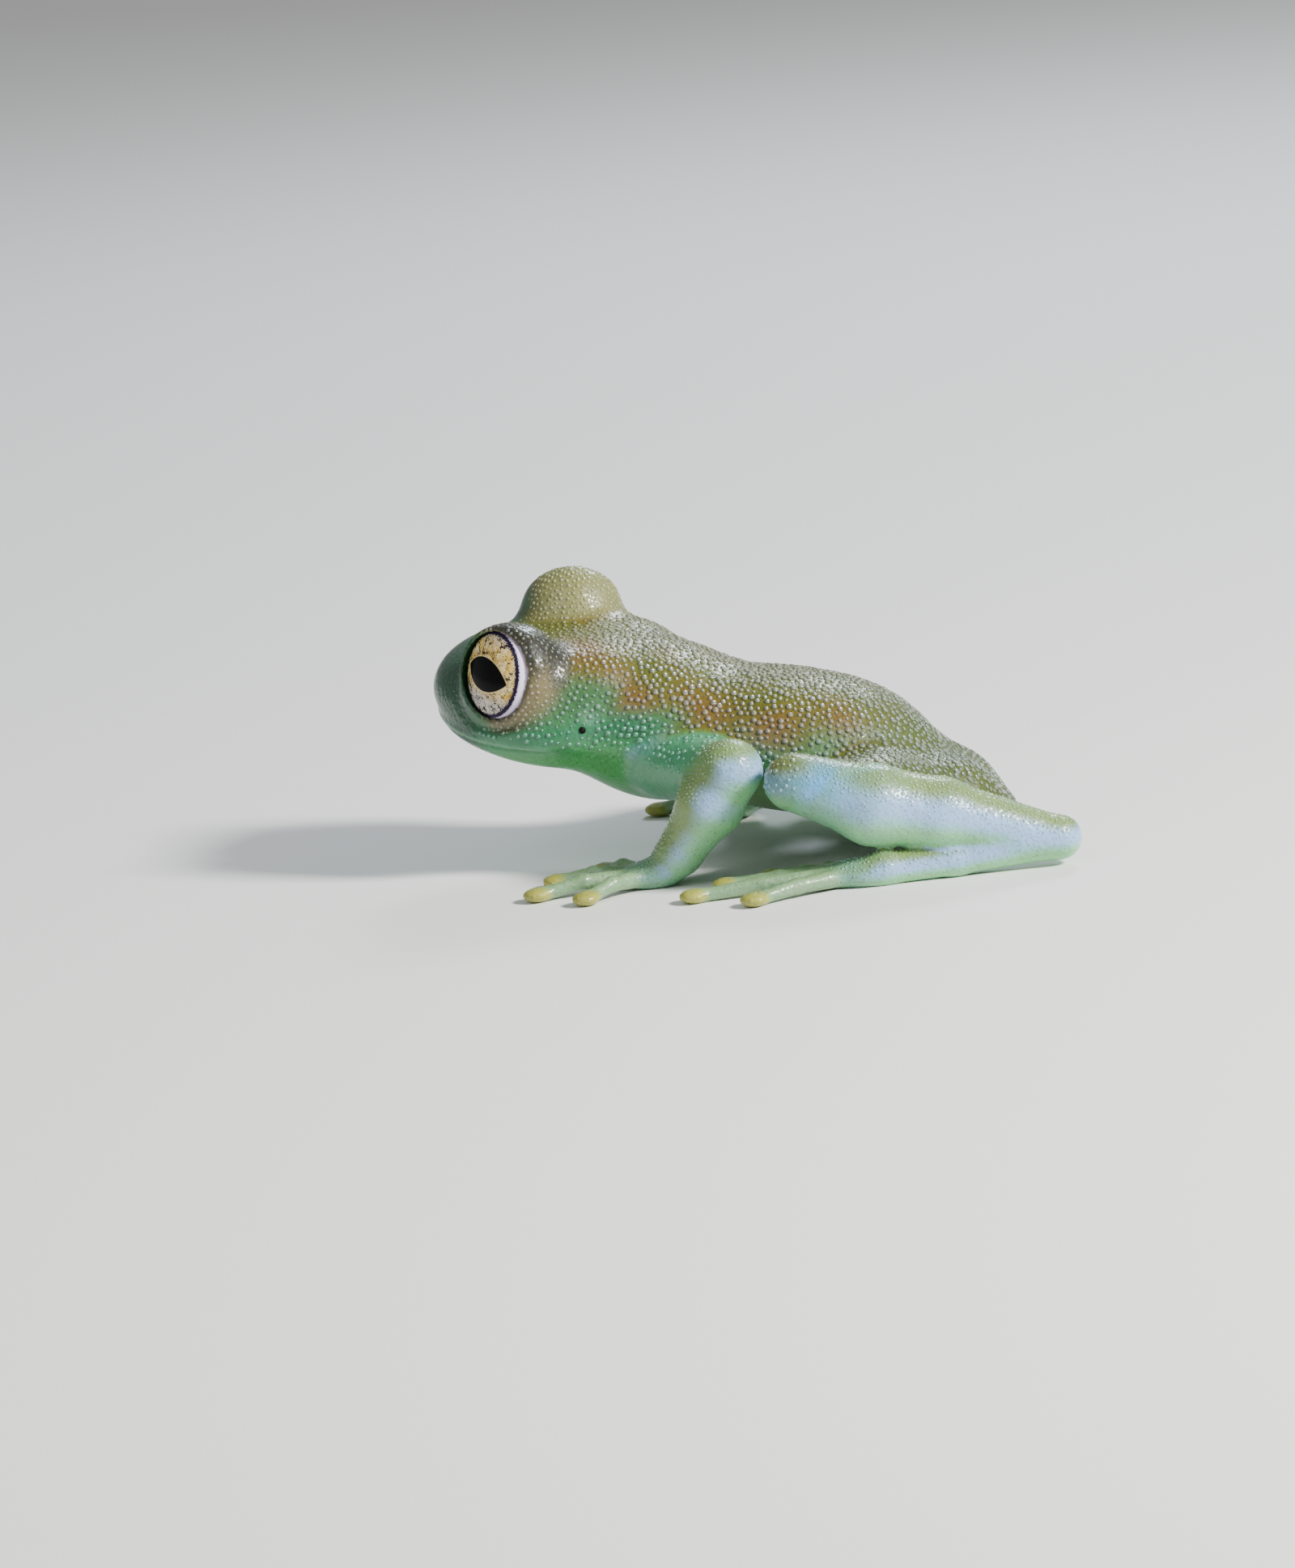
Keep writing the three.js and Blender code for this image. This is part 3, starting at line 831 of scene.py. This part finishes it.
def eye_material():
    material, nodes, links, shader = new_material("frog eye")
    shader.inputs["Roughness"].default_value = 0.6
    shader.inputs["Specular IOR Level"].default_value = 0.05
    shader.inputs["Coat Weight"].default_value = 0.2
    shader.inputs["Coat Roughness"].default_value = 0.02
    shader.inputs["Coat IOR"].default_value = 1.38

    def op(operation, first, second=0.0):
        return math_node(nodes, links, operation, first, second)

    split = node(nodes, "ShaderNodeSeparateXYZ")
    links.new(node(nodes, "ShaderNodeUVMap", uv_map="iris").outputs["UV"], split.inputs[0])
    along = op("MULTIPLY", op("SUBTRACT", split.outputs["X"], 0.5), MAP_REACH)
    across = op("MULTIPLY", op("SUBTRACT", split.outputs["Y"], 0.5), MAP_REACH)
    away = op("SQRT", op("ADD", op("MULTIPLY", along, along), op("MULTIPLY", across, across)))
    place = node(nodes, "ShaderNodeCombineXYZ")
    links.new(along, place.inputs["X"])
    links.new(across, place.inputs["Y"])

    def on_map(kind, scale, **values):
        texture = node(nodes, kind, **values)
        links.new(place.outputs[0], texture.inputs["Vector"])
        texture.inputs["Scale"].default_value = scale
        return texture

    wander = on_map("ShaderNodeTexNoise", 3.4)
    wander.inputs["Detail"].default_value = 3
    jitter = op("MULTIPLY", op("SUBTRACT", wander.outputs["Fac"], 0.5), 0.5)

    clouds = on_map("ShaderNodeTexNoise", 2.6)
    clouds.inputs["Detail"].default_value = 5
    golden = remap(nodes, links, clouds.outputs["Fac"], 0.4, 0.62)
    colour = mixed(nodes, links, golden, (0.72, 0.46, 0.09), (0.92, 0.74, 0.36))
    silver = (0.56, 0.50, 0.44)
    low_side = remap(nodes, links, op("ADD", across, jitter), -0.45, -0.95)
    colour = mixed(nodes, links, low_side, colour, silver)
    high_side = remap(nodes, links, op("ADD", across, jitter), 1.05, 1.4, 0, 0.7)
    colour = mixed(nodes, links, high_side, colour, silver)
    specks = on_map("ShaderNodeTexVoronoi", 17)
    dots = remap(nodes, links, specks.outputs["Distance"], 0.26, 0.46, 0.92, 0)
    patches = on_map("ShaderNodeTexNoise", 5)
    dots = op("MULTIPLY", dots, remap(nodes, links, patches.outputs["Fac"], 0.34, 0.52))
    colour = mixed(nodes, links, dots, colour, (0.03, 0.015, 0.008))

    def veins(scale, width, warp, low, high):
        """Dark branching lines: the edges of bent cells, where a noise lets them through."""
        bend = on_map("ShaderNodeTexNoise", 6)
        bend.inputs["Detail"].default_value = 4
        bent = node(nodes, "ShaderNodeVectorMath", operation="MULTIPLY_ADD")
        links.new(bend.outputs["Color"], bent.inputs[0])
        bent.inputs[1].default_value = (warp, warp, 0)
        links.new(place.outputs[0], bent.inputs[2])
        cells = node(nodes, "ShaderNodeTexVoronoi", feature="DISTANCE_TO_EDGE")
        cells.inputs["Scale"].default_value = scale
        links.new(bent.outputs[0], cells.inputs["Vector"])
        lines = remap(nodes, links, cells.outputs["Distance"], width, width * 2.2, 0.95, 0)
        return op("MULTIPLY", lines, remap(nodes, links, wander.outputs["Fac"], low, high))

    dark = (0.008, 0.005, 0.012)
    colour = mixed(nodes, links, veins(1.7, 0.022, 0.45, 0.40, 0.48), colour, dark)
    colour = mixed(nodes, links, veins(4.6, 0.035, 0.25, 0.5, 0.62), colour, dark)

    offset = (PUPIL_LONG**2 - PUPIL_SHORT**2) / (2 * PUPIL_SHORT)
    reach = op("ADD", op("ABSOLUTE", across), offset)
    lens = op("SQRT", op("ADD", op("MULTIPLY", along, along), op("MULTIPLY", reach, reach)))
    edge = op("SUBTRACT", lens, offset + PUPIL_SHORT)
    rim = op("MULTIPLY", remap(nodes, links, edge, 0.07, 0.025), 0.6)
    colour = mixed(nodes, links, rim, colour, (0.80, 0.66, 0.34))

    teeth = on_map("ShaderNodeTexNoise", 14)
    frayed = op("ADD", away, op("MULTIPLY", op("SUBTRACT", teeth.outputs["Fac"], 0.5), 0.16))
    ring = remap(nodes, links, frayed, IRIS_RADIUS - 0.17, IRIS_RADIUS - 0.10)
    colour = mixed(nodes, links, ring, colour, (0.014, 0.008, 0.03))
    white = remap(nodes, links, frayed, IRIS_RADIUS, IRIS_RADIUS + 0.06)
    colour = mixed(nodes, links, white, colour, (0.74, 0.66, 0.86))
    pupil = remap(nodes, links, edge, 0.015, -0.01)
    colour = mixed(nodes, links, pupil, colour, (0.001, 0.001, 0.001))
    links.new(colour, shader.inputs["Base Color"])
    return material


eye_finish = eye_material()
for side in SIDES:
    ball = eyeball(side)
    ball.data.materials.append(eye_finish)
    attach(ball, "root")
    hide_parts(f"eye_{side}")

# %% [markdown]
# ## Granules
# The skin of this frog carries thousands of small blunt spikes, pale and bluish, that glitter
# where they catch the light. Geometry Nodes strew one small modelled granule over the skin.
# Poisson spacing keeps them apart as real ones are, a weight on the skin says where they grow,
# and the tree ends by making them real mesh.

# %% One granule
PATCH_HALF = 0.0015  # half of a granule's patch on the map of the roots


def make_granule(name, sides, profile, tip):
    """A blunt round spike, from (radius, height) rings up to its tip, for a radius of 1."""
    rows = []
    for radius, height in profile:
        for step in range(sides):
            angle = math.tau * step / sides
            rows.append((radius * math.cos(angle), radius * math.sin(angle), height))
    rows.append((0, 0, tip))
    faces = [tuple(reversed(range(sides)))]
    for ring in range(len(profile) - 1):
        for step in range(sides):
            a = ring * sides + step
            b = ring * sides + (step + 1) % sides
            faces.append((a, b, b + sides, a + sides))
    last = (len(profile) - 1) * sides
    for step in range(sides):
        faces.append((last + step, last + (step + 1) % sides, len(rows) - 1))
    mesh = bpy.data.meshes.new(name)
    mesh.from_pydata(rows, [], faces)
    mesh.shade_smooth()
    granule = bpy.data.objects.new(name, mesh)
    bpy.context.collection.objects.link(granule)
    heights = np.array(rows)[:, 2]
    rise = mesh.attributes.new("rise", "FLOAT", "POINT")
    rise.data.foreach_set("value", np.clip(heights, 0, 1).astype(np.float32))
    patch = mesh.attributes.new("patch", "FLOAT_VECTOR", "POINT")
    spread = np.array(rows) * [PATCH_HALF, PATCH_HALF, 0]
    patch.data.foreach_set("vector", spread.astype(np.float32).ravel())
    return granule


spike = make_granule("spike", 7, [(0.95, -0.3), (1.0, 0.05), (0.74, 0.5), (0.34, 0.85)], 0.97)
bead = make_granule("bead", 6, [(1.0, -0.25), (0.85, 0.45)], 0.8)


# %% Where they grow
MOLE = np.array([-5.75, 6.33])  # level y and z of a dark mole behind the corner of the mouth
trunk_side = (1 - limb) * (1 - belly) * (1 - ease(lid, 0.4, 0.8)) * (1 - snout)
trunk_side *= ease(np.linalg.norm(level[:, 1:] - MOLE, axis=1), 0.18, 0.3)
mouth_free = 1 - in_mouth * (np.abs(mouth_gap) < 0.35)
back_growth = trunk_side * ease(up, -0.45, -0.1) * mouth_free
back_growth *= 1 - throat * ease(5.9 - level[:, 2], 0, 0.8) * 0.9
back_growth = np.maximum(back_growth, upper * ease(up, -0.2, 0.2) * 0.6)
limb_growth = limb * (1 - upper) * (1 - digit) * ease(up, -0.2, 0.5)
rim_distance = distance_to(points, BALLS.values())
lid_growth = ease(lid, 0.15, 0.6) * ease(rim_distance, EYE_RADIUS + 0.04, EYE_RADIUS + 0.12)
lid_growth *= ease(level[:, 1], -10.0, -9.2)
face_growth = (1 - limb) * (1 - lid) * snout * ease(level[:, 1], -12.6, -10.4)
face_growth = face_growth * ease(up, -0.1, 0.3) * 0.8
girth = 1 - 0.24 * (1 - ease(points[:, 1], -7, -3.5))  # smaller on the head
for name, weight in (
    ("girth", girth),
    ("back_growth", back_growth),
    ("limb_growth", limb_growth),
    ("lid_growth", lid_growth),
    ("face_growth", face_growth),
):
    store(skin, name, weight, "FLOAT")
    print(name, "mean", weight.mean().round(3))

# %% An unwrap of the skin, so that each granule knows its root's place on it
bpy.context.view_layer.objects.active = skin
skin.select_set(True)
bpy.ops.object.mode_set(mode="EDIT")
bpy.ops.mesh.select_all(action="SELECT")
bpy.ops.uv.smart_project(angle_limit=math.radians(66), island_margin=0.002)
bpy.ops.object.mode_set(mode="OBJECT")
skin.data.uv_layers[0].name = "hide"
print("skin unwrapped")


# %% The tree that strews them
def strew_tree(growth):
    """A node tree that strews a granule where the named weight lets it grow."""
    tree = bpy.data.node_groups.new(f"strew by {growth}", "GeometryNodeTree")
    face = tree.interface
    face.new_socket("Geometry", in_out="INPUT", socket_type="NodeSocketGeometry")
    face.new_socket("Granule", in_out="INPUT", socket_type="NodeSocketObject")
    for name in ("Spacing", "Width", "Height", "Variation"):
        face.new_socket(name, in_out="INPUT", socket_type="NodeSocketFloat")
    face.new_socket("Seed", in_out="INPUT", socket_type="NodeSocketInt")
    face.new_socket("Material", in_out="INPUT", socket_type="NodeSocketMaterial")
    face.new_socket("Geometry", in_out="OUTPUT", socket_type="NodeSocketGeometry")
    nodes, links = tree.nodes, tree.links
    given = nodes.new("NodeGroupInput").outputs

    def named(name, kind):
        found = node(nodes, "GeometryNodeInputNamedAttribute", data_type=kind)
        found.inputs["Name"].default_value = name
        return found.outputs["Attribute"]

    points = node(nodes, "GeometryNodeDistributePointsOnFaces", distribute_method="POISSON")
    links.new(given["Geometry"], points.inputs["Mesh"])
    links.new(given["Spacing"], points.inputs["Distance Min"])
    points.inputs["Density Max"].default_value = 1e9  # so dense that the spacing alone decides
    links.new(named(growth, "FLOAT"), points.inputs["Density Factor"])
    links.new(given["Seed"], points.inputs["Seed"])

    size = node(nodes, "FunctionNodeRandomValue", data_type="FLOAT")
    size.inputs["Min"].default_value = -1
    size.inputs["Max"].default_value = 1
    links.new(given["Seed"], size.inputs["Seed"])
    swing = node(nodes, "ShaderNodeMath", operation="MULTIPLY_ADD")
    links.new(size.outputs["Value"], swing.inputs[0])
    links.new(given["Variation"], swing.inputs[1])
    swing.inputs[2].default_value = 1
    grown = node(nodes, "ShaderNodeMath", operation="POWER")
    links.new(named(growth, "FLOAT"), grown.inputs[0])
    grown.inputs[1].default_value = 0.4
    ample = node(nodes, "ShaderNodeMath", operation="MULTIPLY")
    links.new(grown.outputs[0], ample.inputs[0])
    links.new(named("girth", "FLOAT"), ample.inputs[1])
    factor = node(nodes, "ShaderNodeMath", operation="MULTIPLY")
    links.new(swing.outputs[0], factor.inputs[0])
    links.new(ample.outputs[0], factor.inputs[1])
    measures = node(nodes, "ShaderNodeCombineXYZ")
    links.new(given["Width"], measures.inputs["X"])
    links.new(given["Width"], measures.inputs["Y"])
    links.new(given["Height"], measures.inputs["Z"])
    scaled = node(nodes, "ShaderNodeVectorMath", operation="SCALE")
    links.new(measures.outputs[0], scaled.inputs[0])
    links.new(factor.outputs[0], scaled.inputs["Scale"])

    pattern = node(nodes, "GeometryNodeObjectInfo")
    links.new(given["Granule"], pattern.inputs["Object"])
    placed = node(nodes, "GeometryNodeInstanceOnPoints")
    links.new(points.outputs["Points"], placed.inputs["Points"])
    links.new(pattern.outputs["Geometry"], placed.inputs["Instance"])
    links.new(points.outputs["Rotation"], placed.inputs["Rotation"])
    links.new(scaled.outputs[0], placed.inputs["Scale"])
    real = nodes.new("GeometryNodeRealizeInstances")
    links.new(placed.outputs["Instances"], real.inputs["Geometry"])

    root = node(nodes, "ShaderNodeVectorMath", operation="ADD")
    links.new(named("hide", "FLOAT_VECTOR"), root.inputs[0])
    links.new(named("patch", "FLOAT_VECTOR"), root.inputs[1])
    kept = node(nodes, "GeometryNodeStoreNamedAttribute", data_type="FLOAT2", domain="CORNER")
    kept.inputs["Name"].default_value = "OFBake"
    links.new(real.outputs["Geometry"], kept.inputs["Geometry"])
    links.new(root.outputs[0], kept.inputs["Value"])
    dressed = nodes.new("GeometryNodeSetMaterial")
    links.new(kept.outputs["Geometry"], dressed.inputs["Geometry"])
    links.new(given["Material"], dressed.inputs["Material"])
    smooth = nodes.new("GeometryNodeSetShadeSmooth")
    links.new(dressed.outputs["Geometry"], smooth.inputs["Geometry"])
    finished = nodes.new("NodeGroupOutput")
    links.new(smooth.outputs["Geometry"], finished.inputs["Geometry"])
    return tree


# %% The granules' material
def granule_material():
    """Skin colour at the foot and frost at the tip, glossy, with light in it."""
    material, nodes, links, shader = new_material("frosted granule")
    moist(shader, 0.28, 0.3, 0.12, 0.6)
    foot = node(nodes, "ShaderNodeAttribute", attribute_name="tint").outputs["Color"]
    tip = node(nodes, "ShaderNodeAttribute", attribute_name="frost").outputs["Color"]
    rise = node(nodes, "ShaderNodeAttribute", attribute_name="rise").outputs["Fac"]
    glints = texture_at(nodes, links, "ShaderNodeTexNoise", 1400)
    cool = remap(nodes, links, glints.outputs["Fac"], 0.4, 0.65, 0.1, 0.6)
    tip = mixed(nodes, links, cool, tip, (0.44, 0.68, 1.0))
    share = remap(nodes, links, rise, 0.08, 0.58, 0.12, 1.0)
    links.new(mixed(nodes, links, share, foot, tip), shader.inputs["Base Color"])
    return material


granule_finish = granule_material()


# %% Strew them
def strew(name, growth, granule, spacing, width, height, variation, seed):
    """Granules of one kind as a plain mesh that rides on the body."""
    holder = bpy.data.objects.new(name + "_holder", skin.data.copy())
    bpy.context.collection.objects.link(holder)
    tree = strew_tree(growth)
    modifier = holder.modifiers.new("strew", "NODES")
    modifier.node_group = tree
    values = {
        "Granule": granule,
        "Spacing": spacing * MM,
        "Width": width * MM,
        "Height": height * MM,
        "Variation": variation,
        "Seed": seed,
        "Material": granule_finish,
    }
    for socket in tree.interface.items_tree:
        if socket.name in values:
            modifier[socket.identifier] = values[socket.name]
    seen = holder.evaluated_get(bpy.context.evaluated_depsgraph_get())
    mesh = bpy.data.meshes.new_from_object(seen)
    mesh.name = name
    bpy.data.objects.remove(holder)
    piece = bpy.data.objects.new(name, mesh)
    bpy.context.collection.objects.link(piece)
    triangles = sum(len(face.vertices) - 2 for face in mesh.polygons)
    print(name, triangles, "triangles", [layer.name for layer in mesh.uv_layers])
    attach(piece, "root")
    return piece


GRANULES = [
    # name, weight, shape, spacing, half width, height, variation
    ("granules_back", "back_growth", spike, 0.235, 0.094, 0.12, 0.35),
    ("granules_limbs", "limb_growth", bead, 0.15, 0.045, 0.05, 0.35),
    ("granules_lids", "lid_growth", spike, 0.19, 0.085, 0.07, 0.25),
    ("granules_face", "face_growth", bead, 0.24, 0.045, 0.04, 0.4),
]
for seed, settings in enumerate(GRANULES):
    strew(*settings, seed + 3)

# %% [markdown]
# ## A mole
# This frog has one small black spot behind the left corner of its mouth. It is a low button
# like the granules, set on the nearest vertex of the skin and turned to stand on it.

# %% The mole
MOLE_RADIUS = 0.14
on_right = level[:, 0] < 1
chosen = np.argmin(np.linalg.norm(level[:, 1:] - MOLE, axis=1) + 9 * on_right)
mole = make_granule("mole", 12, [(1.0, -0.4), (0.9, 0.2), (0.5, 0.5)], 0.6)
mole_turn = Vector(normals[chosen]).to_track_quat("Z", "Y").to_matrix().to_4x4()
mole_place = Matrix.Translation(Vector((points[chosen] + shift) * MM))
mole.data.transform(mole_place @ mole_turn @ Matrix.Scale(MOLE_RADIUS * MM, 4))
print("mole at", points[chosen].round(2))
mole_material, _, _, mole_shader = new_material("dark mole")
mole_shader.inputs["Base Color"].default_value = (0.004, 0.005, 0.003, 1)
mole_shader.inputs["Roughness"].default_value = 0.6
mole_shader.inputs["Specular IOR Level"].default_value = 0.1
mole.data.materials.append(mole_material)
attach(mole, "root")
for shape in (spike, bead):
    bpy.data.objects.remove(shape)
skin.data.uv_layers.remove(skin.data.uv_layers["hide"])

# %% [markdown]
# ## Floor, light and camera
# The frog sits on a plain pale floor in soft studio light. The camera looks from the frog's
# left and a little behind, through a long lens, and is rolled a little as in the photograph.

# %% The stage
FLOOR_SIZE = 3.0
floor_mesh = bpy.data.meshes.new("floor")
half = FLOOR_SIZE / 2
floor_corners = [(-half, -half, 0), (half, -half, 0), (half, half, 0), (-half, half, 0)]
floor_mesh.from_pydata(floor_corners, [], [(0, 1, 2, 3)])
floor = bpy.data.objects.new("floor", floor_mesh)
bpy.context.collection.objects.link(floor)
floor_material, _, _, floor_shader = new_material("pale floor")
floor_shader.inputs["Base Color"].default_value = (0.8, 0.8, 0.78, 1)
floor_shader.inputs["Roughness"].default_value = 0.8
floor_mesh.materials.append(floor_material)

# %% The camera
AZIMUTH = 106
ELEVATION = 11
ROLL = -5
DISTANCE = 330
PIXELS_PER_MM = 34
IMAGE_HEIGHT = 1938
HEEL = np.array([4.5, 12.3, 0.7])  # a point of the left heel
HEEL_RIGHT = 15.735  # how far it lies right of the picture's middle
HEEL_DOWN = 2.3235
SENSOR_WIDTH = 36

azimuth, elevation, roll = (math.radians(value) for value in (AZIMUTH, ELEVATION, ROLL))
level_reach = math.cos(elevation)
back = np.array(
    [math.sin(azimuth) * level_reach, -math.cos(azimuth) * level_reach, math.sin(elevation)]
)
level_right = unit(np.cross(-back, [0, 0, 1]))
level_up = np.cross(level_right, -back)
right = math.cos(roll) * level_right + math.sin(roll) * level_up
upward = -math.sin(roll) * level_right + math.cos(roll) * level_up
target = HEEL - HEEL_RIGHT * right + HEEL_DOWN * upward + shift

camera_data = bpy.data.cameras.new("camera")
camera = bpy.data.objects.new("camera", camera_data)
bpy.context.collection.objects.link(camera)
bpy.context.scene.camera = camera
camera_data.sensor_width = SENSOR_WIDTH
camera_data.lens = SENSOR_WIDTH * DISTANCE / (IMAGE_HEIGHT / PIXELS_PER_MM)
camera_data.clip_start = 0.01
camera_data.clip_end = 10
camera_turn = Matrix((right, upward, back)).transposed().to_4x4()
camera.matrix_world = Matrix.Translation(Vector((target + back * DISTANCE) * MM)) @ camera_turn
print("camera at", [round(value, 4) for value in camera.matrix_world.translation])


# %% The lights
FROG_MIDDLE = np.array([0, 0, 4])


def soft_light(name, direction, distance, size, power, colour):
    """A square lamp that far from the frog's middle, turned to it."""
    data = bpy.data.lights.new(name, "AREA")
    data.size = size * MM
    data.energy = power
    data.color = colour
    light = bpy.data.objects.new(name, data)
    bpy.context.collection.objects.link(light)
    place = Vector((FROG_MIDDLE + unit(direction) * distance) * MM)
    light.location = place
    light.rotation_euler = (Vector(FROG_MIDDLE * MM) - place).to_track_quat("-Z", "Y").to_euler()


soft_light("key", back * 0.6 + right * 0.75 + upward * 0.6, 220, 36, 1.2, (1, 0.98, 0.94))
soft_light("fill", back * 0.7 - right * 0.6 + upward * 0.5, 260, 160, 0.16, (0.92, 0.97, 1))
soft_light("rim", -back * 0.8 + right * 0.2 + upward * 0.9, 240, 60, 0.3, (0.8, 0.9, 1))
world = bpy.data.worlds.new("studio")
world.use_nodes = True
world.node_tree.nodes["Background"].inputs["Color"].default_value = (0.8, 0.82, 0.84, 1)
world.node_tree.nodes["Background"].inputs["Strength"].default_value = 0.4
bpy.context.scene.world = world

# %% [markdown]
# ## Finish
# The dressed frog should fill the same box as its solids. The scene is brought up to date last.

# %% Update the scene
bpy.context.view_layer.update()
